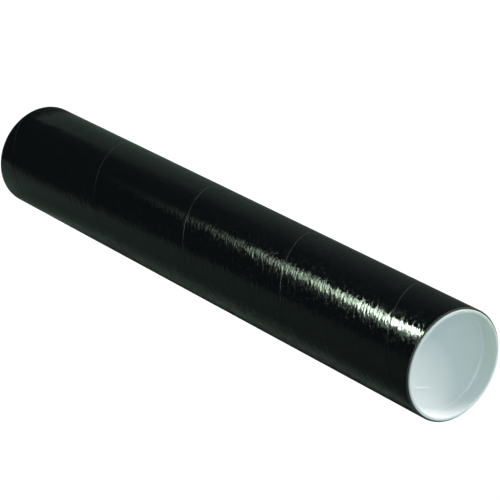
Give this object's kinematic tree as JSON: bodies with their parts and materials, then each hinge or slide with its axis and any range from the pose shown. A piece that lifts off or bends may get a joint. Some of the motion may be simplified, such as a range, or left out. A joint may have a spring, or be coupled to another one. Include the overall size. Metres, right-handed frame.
{
  "type": "mailing tube",
  "caption": "Spiral-wound black paperboard mailing tube with a white recessed push-in plug at each end, for posting rolled prints.",
  "frame": {"origin": "centre of the lower plug's rim, on the surface that the tube stands on", "axes": "+Z along the tube's axis, from the bottom plug to the top plug; the tube is round about Z, and X and Y have no meaning of their own apart from where the seam starts"},
  "size_m": [0.0802, 0.0802, 0.4978],
  "materials": {
    "black_board": "glossy black paper ply over grey-brown board",
    "white_plastic": "satin white moulded polyethylene"
  },
  "bodies": {
    "tube": {"tube_body": "black_board"},
    "top_plug": {"top_cap": "white_plastic"},
    "bottom_plug": {"bottom_cap": "white_plastic"}
  },
  "joints": [
    {"name": "top_plug_slide", "type": "slide", "parent": "tube", "child": "top_plug", "axis": [0, 0, 1], "range_m": [0, 0.05]},
    {"name": "bottom_plug_slide", "type": "slide", "parent": "tube", "child": "bottom_plug", "axis": [0, 0, -1], "range_m": [0, 0.05]}
  ]
}
